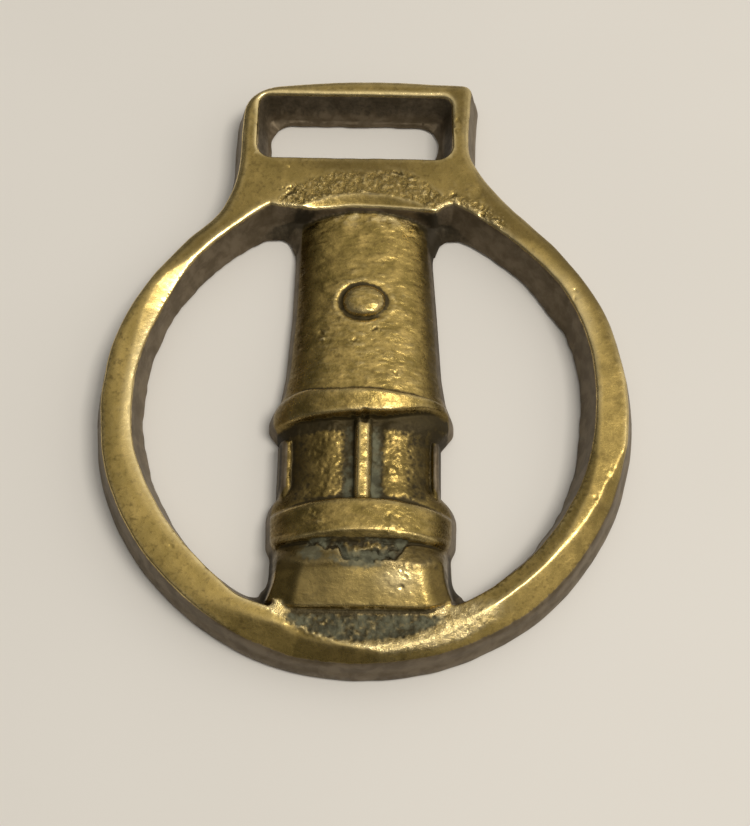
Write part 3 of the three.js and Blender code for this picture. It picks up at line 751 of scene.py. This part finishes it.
def dirt_and_shade_share(x, y, h, f):
    """Dirt in hollows, and painted shade: how far a point lies below its blurred surroundings, less on walls,
    and more where dirt has packed in, beside the pillars and round the boss; a dark line runs along the lip's
    crease.
    Painted shadow lies under the upper collar, under the lower collar's edge and under the lip's overhang,
    and painted shade on the walls below the lip, in the openings' corners, along the vessel's foot, over the
    side pillars and on the lamp's right flanks."""
    proud, wall, blotch, u = f["proud"], f["wall"], f["blotch"], f["u"]
    pocket, crust = f["pocket"], f["crust"]
    dirt_and_shade = np.clip(f["hollow"] / 0.6, 0, 1) * 0.7 * (1 - 0.75 * f["foot"]) \
        + np.clip(f["fine"] / 0.10, 0, 1) * 0.6 * (1 - 0.85 * proud * ramp(0.62, 0.82, u))
    dirt_and_shade = dirt_and_shade * ramp(0.8, 2.0, h) * (1 - 0.9 * wall * (1 - proud) * (1 - pocket))
    dirt_and_shade = dirt_and_shade * (1 - pocket) + pocket * (0.62 - 0.5 * ramp(2.3, 1.5, h))

    to_right = ramp(2.5, 8.0, x)
    # Painted shadow: a dark band just under the upper collar's rim, wider to the right.
    collar_shadow = top_collar_line(x, -4.45) - 0.35 * to_right
    under_collar = bell(y + 0.16 * lumps(x, y, 0.8, 87), collar_shadow, 0.45 + 0.40 * to_right)
    under_collar = under_collar * (np.abs(x) < 12)
    # Painted shadow under the lip's overhang, on the walls just below it.
    under_lip = f["lip"] * ramp(0.0, -0.35, f["front"]) * ramp(30.5, 31.0, y + 0.020 * x ** 2)
    under_lip = under_lip * ramp(32.8, 32.2, y)
    round_boss = bell(np.hypot(x + 0.25, (y - 14.75) * 1.15), 3.48, 0.48)
    for gap_x, gap_width, gap in ((3.0, 1.6, 0.6), (-2.6, 1.0, 0.5)):
        round_boss = round_boss * (1 - gap * bell(x, gap_x, gap_width) * (y < 14))
    thin_on_glass = (bell(x, -4.8, 2.1) + 0.95 * bell(x, 4.5, 1.6)) * ramp(-4.6, -6.4, y)
    # Painted shade on the cast walls just below the lip, broken up by blotches.
    lamp_neck = 0.36 * blotch * wall * (1 - proud) * (np.abs(x) < 14) * (y > 24) * (y < 34)
    on_crust = 0.45 - 0.5 * crust + 0.8 * bell(crust, 0.05, 0.10) + 0.25 * lumps(x, y, 0.4, 84)
    packed_and_shaded_places = [
        0.55 * f["pillar_side"],
        # painted shadow under the upper collar
        1.3 * under_collar,
        # painted shade under the upper collar's right end
        0.6 * spot(x, y, (10.3, -5.1), (2.2, 1.3)),
        f["vessel_top"] * (0.22 + 0.45 * blotch),
        # painted shade over the side pillars
        0.34 * f["side_bars"],
        # painted shade on the lamp's right flanks
        0.52 * proud * ramp(0.66, 0.88, u) * (x > 0) * np.maximum(y > 1, y < -24.5),
        # painted shade on the walls below the lip
        lamp_neck,
        # painted shadow under the lip's overhang
        1.2 * under_lip,
        round_boss * (0.05 + 0.85 * blotch),
        # painted shade in the openings' corners, over the webs
        0.55 * f["corner"],
        f["glass"] * np.clip(0.66 - 0.60 * thin_on_glass * (0.45 + blotch), 0, 1),
        f["pebbled"] * (0.72 + 0.25 * lumps(x, y, 0.4, 85)),
        1.1 * f["crack"],
        f["chipped"] * on_crust,
        # painted shade along the crease at the vessel's foot
        0.9 * bell(y, FOOT_Y + 0.1 + 0.02 * x, 0.22) * (np.abs(x - 0.5) < 9.5),
        0.55 * bell(y, lip_line(x, 32.35), 0.20) * (np.abs(x) < 10.2) * (0.5 + blotch),
        # painted shadow under the lower collar's edge
        0.9 * bell(y, LOW_COLLAR_EDGE + 0.25, 0.22) * ramp(6.2, 5.2, np.abs(x)),
    ]
    return sum(packed_and_shaded_places, dirt_and_shade)


def green_share(x, y, f):
    """Verdigris where damp has sat: beside the middle pillar, on the crust, in the foot's hollow and in
    three spots, all broken up by grain."""
    stain = 1.7 * spot(x, y, (-0.2, -24.1), (3.0, 1.0), 1.2)
    stain = stain + 1.9 * spot(x, y, (-6.6, -22.9), (1.8, 1.0), 1.1)
    damp_places = [
        f["pillar_side"] * (0.45 + 0.5 * ramp(-9, -13, y) + 0.25 * (x > 0)) * 1.1,
        f["chipped"] * (0.82 - 0.45 * f["crust"]),
        0.9 * stain,
        0.75 * spot(x, y, (5.7, 16.2), (1.0, 1.0), 1.2),
        0.95 * f["pebbled"],
        0.3 * f["glass"] * f["blotch"],
    ]
    return sum(damp_places) * (0.30 + 0.95 * (0.5 + 0.5 * grain(x, y, 1.1, 82)))


def shade_share(x, y, f):
    """Darker, browner metal, partly patina and partly painted shade: towards the lamp's sides, over its glass
    and collars, on its vessel's upper edge and lower left, then on the shoulder and on parts of the ring's
    face and bevels. It is painted shade on the lamp's flanks and cheeks, over the side pillars, on the
    vessel's lower left, on the outer bevel at the ring's lower right, on the outer part of the upper left
    facet and across the ring's right side."""
    angle, outer, front = f["angle"], f["outer"], f["front"]
    proud, u = f["proud"], f["u"]
    out_bevel, in_bevel = f["out_bevel"], f["in_bevel"]
    cheek = ramp(8.0, 9.6, np.abs(x) + 0.3 * (y + 25)) * (y < -22.5) * proud
    lamp_places = [
        # patina and painted shade towards the lamp's sides
        proud * ramp(0.60, 0.90, u) * np.where(y < -22, 0.5, np.where(y < 0.6, 0.75, 1.0)),
        # painted shade on the vessel's cheeks
        np.where(x < 0, 0.05, 1.1) * cheek,
        # painted shade on the left of the vessel's filed face
        0.60 * proud * ramp(0.5, -5.5, x) * ramp(-24.0, -25.0, y) * (1 - 0.9 * cheek),
        # painted shade over the side pillars
        0.8 * f["side_bars"],
        0.8 * f["pebbled"],
        0.16 * proud * ramp(1.0, 0.4, y) * ramp(-21.5, -20.5, y) * (1 - f["glass"]),
        0.55 * f["glass"],
        f["vessel_top"],
    ]
    ring_places = [
        0.80 * spot(x, y, (-1, 37.3), (9, 1.6)),
        0.16 * ramp(38, 41, y),
        (0.44 + 0.004 * x) * ramp(19, 28, y),
        0.35 * f["coarse"],
        0.35 * out_bevel * turn(angle, -98, 26),
        0.75 * (1 - in_bevel) * turn(angle, 138, 14),
        # painted shade on the outer bevel at the lower right
        0.60 * out_bevel * turn(angle, -25, 13),
        # painted shade on the outer bevel where it faces the key light
        0.15 * out_bevel * turn(angle, -57, 14) * (1 - f["sparkle"]),
        0.70 * f["wedge"],
        0.45 * ramp(-0.1, 0.7, grain(x, y, 1.2, 86)) * turn(angle, -2, 42),
        # painted shade on the outer part of the upper left facet
        0.35 * in_bevel * ramp(0.5, 1.9, front) * turn(angle, 150, 12),
        ramp(2.3, 0.5, outer) * turn(angle, 34, 24),
        # painted shade across the ring's right side
        0.18 * turn(angle, -12, 48),
    ]
    return sum(lamp_places) + (1 - proud) * sum(ring_places)


def finish_shares(x, y, h, f):
    """Each finish from 0 to 1: bare walls left as cast, dirt and painted shadow in hollows, wear and painted
    highlights on edges, green verdigris, rough-cast patches, patina and painted shade, and how strong the
    fine relief is."""
    ground = np.maximum(h, 0)
    f["hollow"] = blurred(ground, 0.75) - ground
    f["fine"] = blurred(ground, 0.28) - ground
    f["blotch"] = 0.5 + 0.5 * grain(x, y, 1.6, 81)
    beside_pillar = bell(np.abs(x - PILLARS[1]), 1.7, 0.95)
    f["pillar_side"] = beside_pillar * ramp(GLASS_Y[0], -14.8, y) * ramp(-4.2, -5.2, y)
    at_side = ramp(8.9, 9.5, np.abs(x)) * (np.abs(x) < 12.5)
    f["side_bars"] = at_side * ramp(-4.0, -4.6, y) * ramp(-15.6, -15.2, y)
    f["vessel_top"] = ramp(-21, -21.6, y) * ramp(-25.1, -24.6, y - 0.02 * x) * f["proud"]
    grained = np.maximum(f["lamp"] * (1 - 0.6 * ramp(-24.3, -25.3, y)), f["rough"])
    shares = dict(wall=f["wall"], dirt_and_shade=dirt_and_shade_share(x, y, h, f), wear_and_highlight=wear_and_highlight_share(x, y, h, f),
                  green=green_share(x, y, f), rough=f["rough"], shade=shade_share(x, y, f),
                  relief=0.35 + 0.20 * ramp(28, 34, y) + 0.65 * grained)
    return {name: np.clip(share, 0, 1) for name, share in shares.items()}


def casting():
    """The whole brass in one skin, in place, with the share of each finish at its vertices."""
    x, y = np.meshgrid(np.arange(*GRID_X, STEP), np.arange(*GRID_Y, STEP))
    h, fields = front_heights(x, y)
    points, faces = skin(x, y, h)
    piece = thinned(mesh_piece("brass_casting", points, faces), MOST_TRIANGLES)
    mesh = piece.data
    co = at_corners(mesh, "co").astype(float)
    behind = ramp(0.1, -0.3, at_corners(mesh, "normal")[:, 2]) * (co[:, 2] < RIM + 0.01)
    for name, field in finish_shares(x, y, h, fields).items():
        share = sampled(field, co[:, 0], co[:, 1], x, y)
        if name == "wall":
            share = np.maximum(share, behind)
        else:
            share = share * (1 - behind)
        layer = mesh.attributes.new(name + "_share", "FLOAT", "POINT")
        layer.data.foreach_set("value", share.astype(np.float32))
    co[:, :2] += CENTRE
    mesh.vertices.foreach_set("co", (co * MM).astype(np.float32).ravel())
    mesh.polygons.foreach_set("use_smooth", np.ones(len(mesh.polygons), bool))
    mesh.update()
    return piece


# ---- materials ----

GOLD, OLIVE, BROWN = (0.56, 0.40, 0.128), (0.275, 0.198, 0.056), (0.145, 0.100, 0.033)
# The bright colour is for worn metal and painted highlights, the shaded one for patina and painted shade, and
# the darkest, below, for dirt and painted shadow.
BRIGHT, SHADED = (0.90, 0.72, 0.36), (0.115, 0.080, 0.026)
SPECKS, DIRT_AND_SHADE = (0.10, 0.075, 0.035), (0.024, 0.018, 0.008)
CAST_DARK, CAST_LIGHT = (0.115, 0.086, 0.050), (0.190, 0.148, 0.095)
GREEN_DARK, GREEN_LIGHT = (0.085, 0.084, 0.052), (0.185, 0.186, 0.118)
TABLE_DARK, TABLE_LIGHT = (0.745, 0.716, 0.660), (0.770, 0.741, 0.685)


class Nodes:
    """Short hand for wiring a material."""

    def __init__(self, name):
        self.material = bpy.data.materials.new(name)
        self.material.use_nodes = True
        self.tree = self.material.node_tree
        self.tree.nodes.clear()

    def add(self, kind, **values):
        """A new node with some of its settings."""
        node = self.tree.nodes.new(kind)
        for key, value in values.items():
            setattr(node, key, value)
        return node

    def wire(self, source, target):
        """A link from an output to an input."""
        self.tree.links.new(source, target)

    def feed(self, socket, value):
        """Sets a socket to a number or a colour, or links an output to it."""
        if isinstance(value, (int, float)):
            socket.default_value = value
        elif isinstance(value, tuple):
            socket.default_value = (*value, 1.0)
        else:
            self.wire(value, socket)

    def share(self, name):
        """The share of a finish, as kept on the mesh."""
        return self.add("ShaderNodeAttribute", attribute_name=name + "_share").outputs["Fac"]

    def noise(self, where, scale, detail, rough, distortion=0.0):
        """Noise from 0 to 1 with so many lumps to the metre."""
        node = self.add("ShaderNodeTexNoise")
        settings = (("Scale", scale), ("Detail", detail), ("Roughness", rough), ("Distortion", distortion))
        for name, value in settings:
            node.inputs[name].default_value = value
        self.wire(where, node.inputs["Vector"])
        return node.outputs["Fac"]

    def spread(self, source, low, high, out_low=0.0, out_high=1.0):
        """The source's range from low to high spread over another range by an S curve."""
        node = self.add("ShaderNodeMapRange", interpolation_type="SMOOTHSTEP")
        for name, value in (("From Min", low), ("From Max", high), ("To Min", out_low), ("To Max", out_high)):
            node.inputs[name].default_value = value
        self.wire(source, node.inputs["Value"])
        return node.outputs["Result"]

    def math(self, operation, a, b):
        """One step of arithmetic."""
        node = self.add("ShaderNodeMath", operation=operation)
        self.feed(node.inputs[0], a)
        self.feed(node.inputs[1], b)
        return node.outputs[0]

    def times(self, a, b):
        """The product of two values."""
        return self.math("MULTIPLY", a, b)

    def ragged(self, value, noise, depth):
        """A value plus depth times a noise's distance from its middle."""
        return self.math("ADD", value, self.times(self.math("SUBTRACT", noise, 0.5), depth))

    def mix(self, share, a, b):
        """Colour a, and as much of b as the share says."""
        node = self.add("ShaderNodeMix", data_type="RGBA")
        for place, value in ((0, share), (6, a), (7, b)):
            self.feed(node.inputs[place], value)
        return node.outputs[2]

    def blend(self, share, a, b):
        """Number a, and as much of b as the share says."""
        node = self.add("ShaderNodeMix", data_type="FLOAT")
        for place, value in ((0, share), (2, a), (3, b)):
            self.feed(node.inputs[place], value)
        return node.outputs[0]

    def finished(self, shader):
        """The material with the shader as its surface."""
        self.wire(shader.outputs[0], self.add("ShaderNodeOutputMaterial").inputs["Surface"])
        return self.material


def aged_brass():
    """Handled brass: olive and gold mottling, bright worn edges and painted highlights, darker patina and
    painted shade, brown walls left as cast, black dirt and painted shadow in the hollows and verdigris where
    damp has sat."""
    n = Nodes("aged_brass")
    here = n.add("ShaderNodeTexCoord").outputs["Object"]
    wall, dirt_and_shade, wear_and_highlight, green, rough, shade, relief = (
        n.share(name) for name in ("wall", "dirt_and_shade", "wear_and_highlight", "green", "rough", "shade", "relief"))

    broad = n.noise(here, 130, 3, 0.5)
    cloud = n.noise(here, 420, 5, 0.6, 0.3)
    fine = n.noise(here, 1500, 4, 0.65)
    speck = n.noise(here, 4200, 3, 0.7)
    stretch = n.add("ShaderNodeMapping")
    stretch.inputs["Scale"].default_value = (0.35, 1.0, 1.0)
    stretch.inputs["Rotation"].default_value = (0, 0, math.radians(28))
    n.wire(here, stretch.inputs["Vector"])
    rubbed = n.noise(stretch.outputs["Vector"], 3200, 4, 0.7)

    walls = n.spread(n.ragged(wall, fine, 0.5), 0.30, 0.75)
    grime_and_shade = n.spread(n.ragged(dirt_and_shade, fine, 0.7), 0.22, 0.95)
    bloom = n.spread(n.ragged(green, fine, 0.9), 0.30, 0.95)
    cast = n.mix(n.spread(cloud, 0.35, 0.65), CAST_DARK, CAST_LIGHT)
    verdigris = n.mix(n.spread(cloud, 0.4, 0.6), GREEN_DARK, GREEN_LIGHT)
    colour = n.mix(n.blend(relief, 0.72, n.spread(cloud, 0.34, 0.66)), OLIVE, GOLD)
    for share, over in (
            (n.times(n.spread(fine, 0.48, 0.70), 0.72), BROWN),
            (n.times(n.spread(speck, 0.60, 0.74), 0.6), SPECKS),
            (n.times(n.spread(broad, 0.40, 0.62), 0.35), OLIVE),
            # Patina and painted shade, then worn metal and painted highlights, the cast walls, and dirt and
            # painted shadow.
            (n.times(shade, 0.8), SHADED),
            (n.times(wear_and_highlight, 0.8), BRIGHT),
            (walls, cast),
            (n.times(grime_and_shade, 0.9), DIRT_AND_SHADE),
            (n.times(bloom, 0.75), verdigris)):
        colour = n.mix(share, colour, over)

    shader = n.add("ShaderNodeBsdfPrincipled")
    n.wire(colour, shader.inputs["Base Color"])
    dull = n.math("MAXIMUM", bloom, n.times(grime_and_shade, 0.6))
    metal = n.math("SUBTRACT", 1.0, n.times(dull, 0.75))
    metal = n.times(metal, n.math("SUBTRACT", 1.0, n.times(walls, 0.45)))
    n.wire(metal, shader.inputs["Metallic"])
    shader.inputs["Specular IOR Level"].default_value = 0.25
    gloss = n.ragged(n.spread(fine, 0.3, 0.7, 0.22, 0.37), cloud, 0.25)
    for share, over in ((n.times(wear_and_highlight, 0.7), 0.20), (walls, 0.52), (dull, 0.75)):
        gloss = n.blend(share, gloss, over)
    n.wire(gloss, shader.inputs["Roughness"])

    bump = n.add("ShaderNodeBump")
    n.wire(relief, bump.inputs["Strength"])
    bump.inputs["Distance"].default_value = 0.00007
    height = n.math("ADD", n.times(fine, 0.9), n.times(rubbed, 0.55))
    height = n.math("ADD", height, n.times(n.times(speck, rough), 1.6))
    n.wire(height, bump.inputs["Height"])
    n.wire(bump.outputs["Normal"], shader.inputs["Normal"])
    return n.finished(shader)


def table_finish():
    """Pale matt board with faint clouds."""
    n = Nodes("pale_table")
    cloud = n.noise(n.add("ShaderNodeTexCoord").outputs["Object"], 9, 3, 0.5)
    shader = n.add("ShaderNodeBsdfPrincipled")
    n.wire(n.mix(n.spread(cloud, 0.3, 0.7), TABLE_DARK, TABLE_LIGHT), shader.inputs["Base Color"])
    shader.inputs["Roughness"].default_value = 0.6
    shader.inputs["Specular IOR Level"].default_value = 0.3
    return n.finished(shader)


# ---- camera, table and light ----

CAMERA_X, CAMERA_Y, CAMERA_HEIGHT = 1.654, -73.07, 185.94   # millimetres, from the middle of the opening
CAMERA_TILT, CAMERA_ROLL = 21.5, 0.918                      # degrees, from looking straight down
LENS, SENSOR = 61.02, 36                                    # millimetres
TABLE_HALF = 3.0                                            # metres
KEY_TOWARD, KEY_DISTANCE, KEY_SIZE = (0.42, -0.02, 0.91), 0.9, 0.28   # metres
KEY_POWER, KEY_COLOUR = 3.7, (1.0, 0.955, 0.89)             # watts
SKY_TOWARD, SKY_COLOUR = (0.50, 0.30, 0.81), (1.0, 0.965, 0.91, 1)
SKY_RANGE = (("From Min", 0.15), ("From Max", 0.95), ("To Min", 0.13), ("To Max", 0.84))


def add_camera():
    """A look along +Y and down at 68.5 degrees, rolled by under a degree."""
    data = bpy.data.cameras.new("camera")
    data.lens = LENS
    data.sensor_width = SENSOR
    data.clip_start, data.clip_end = 0.01, 20
    camera = bpy.data.objects.new("camera", data)
    bpy.context.scene.collection.objects.link(camera)
    place = Vector(((CAMERA_X + CENTRE[0]) * MM, (CAMERA_Y + CENTRE[1]) * MM, CAMERA_HEIGHT * MM))
    tilt = Matrix.Rotation(math.radians(CAMERA_TILT), 4, "X")
    roll = Matrix.Rotation(math.radians(CAMERA_ROLL), 4, "Z")
    camera.matrix_world = Matrix.Translation(place) @ (tilt @ roll)
    bpy.context.scene.camera = camera


def add_table():
    """A square board under the brass, which isn't part of it."""
    mesh = bpy.data.meshes.new("table")
    s = TABLE_HALF
    mesh.from_pydata([(-s, -s, 0), (s, -s, 0), (s, s, 0), (-s, s, 0)], [], [(0, 1, 2, 3)])
    table = bpy.data.objects.new("table", mesh)
    bpy.context.scene.collection.objects.link(table)
    mesh.materials.append(table_finish())


def add_key_light():
    """One soft square lamp to the right of straight above, turned to the brass."""
    data = bpy.data.lights.new("key", "AREA")
    data.size = KEY_SIZE
    data.energy = KEY_POWER
    data.color = KEY_COLOUR
    key = bpy.data.objects.new("key", data)
    bpy.context.scene.collection.objects.link(key)
    away = Vector(KEY_TOWARD).normalized()
    facing = away.to_track_quat("Z", "Y").to_matrix().to_4x4()
    key.matrix_world = Matrix.Translation(away * KEY_DISTANCE) @ facing


def add_sky():
    """A plain sky that is brighter on one side: its strength follows the direction's part along one line."""
    world = bpy.data.worlds.new("room")
    bpy.context.scene.world = world
    world.use_nodes = True
    tree = world.node_tree
    back = tree.nodes["Background"]
    where = tree.nodes.new("ShaderNodeTexCoord")
    toward = tree.nodes.new("ShaderNodeVectorMath")
    toward.operation = "DOT_PRODUCT"
    toward.inputs[1].default_value = SKY_TOWARD
    tree.links.new(where.outputs["Generated"], toward.inputs[0])
    strength = tree.nodes.new("ShaderNodeMapRange")
    strength.interpolation_type = "SMOOTHSTEP"
    for name, value in SKY_RANGE:
        strength.inputs[name].default_value = value
    tree.links.new(toward.outputs["Value"], strength.inputs["Value"])
    tree.links.new(strength.outputs["Result"], back.inputs["Strength"])
    back.inputs["Color"].default_value = SKY_COLOUR


bpy.context.scene.view_settings.view_transform = "Standard"
add_camera()
add_table()
add_key_light()
add_sky()

brass = casting()
brass.data.materials.append(aged_brass())
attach(brass, "root")
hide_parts("horse_brass")
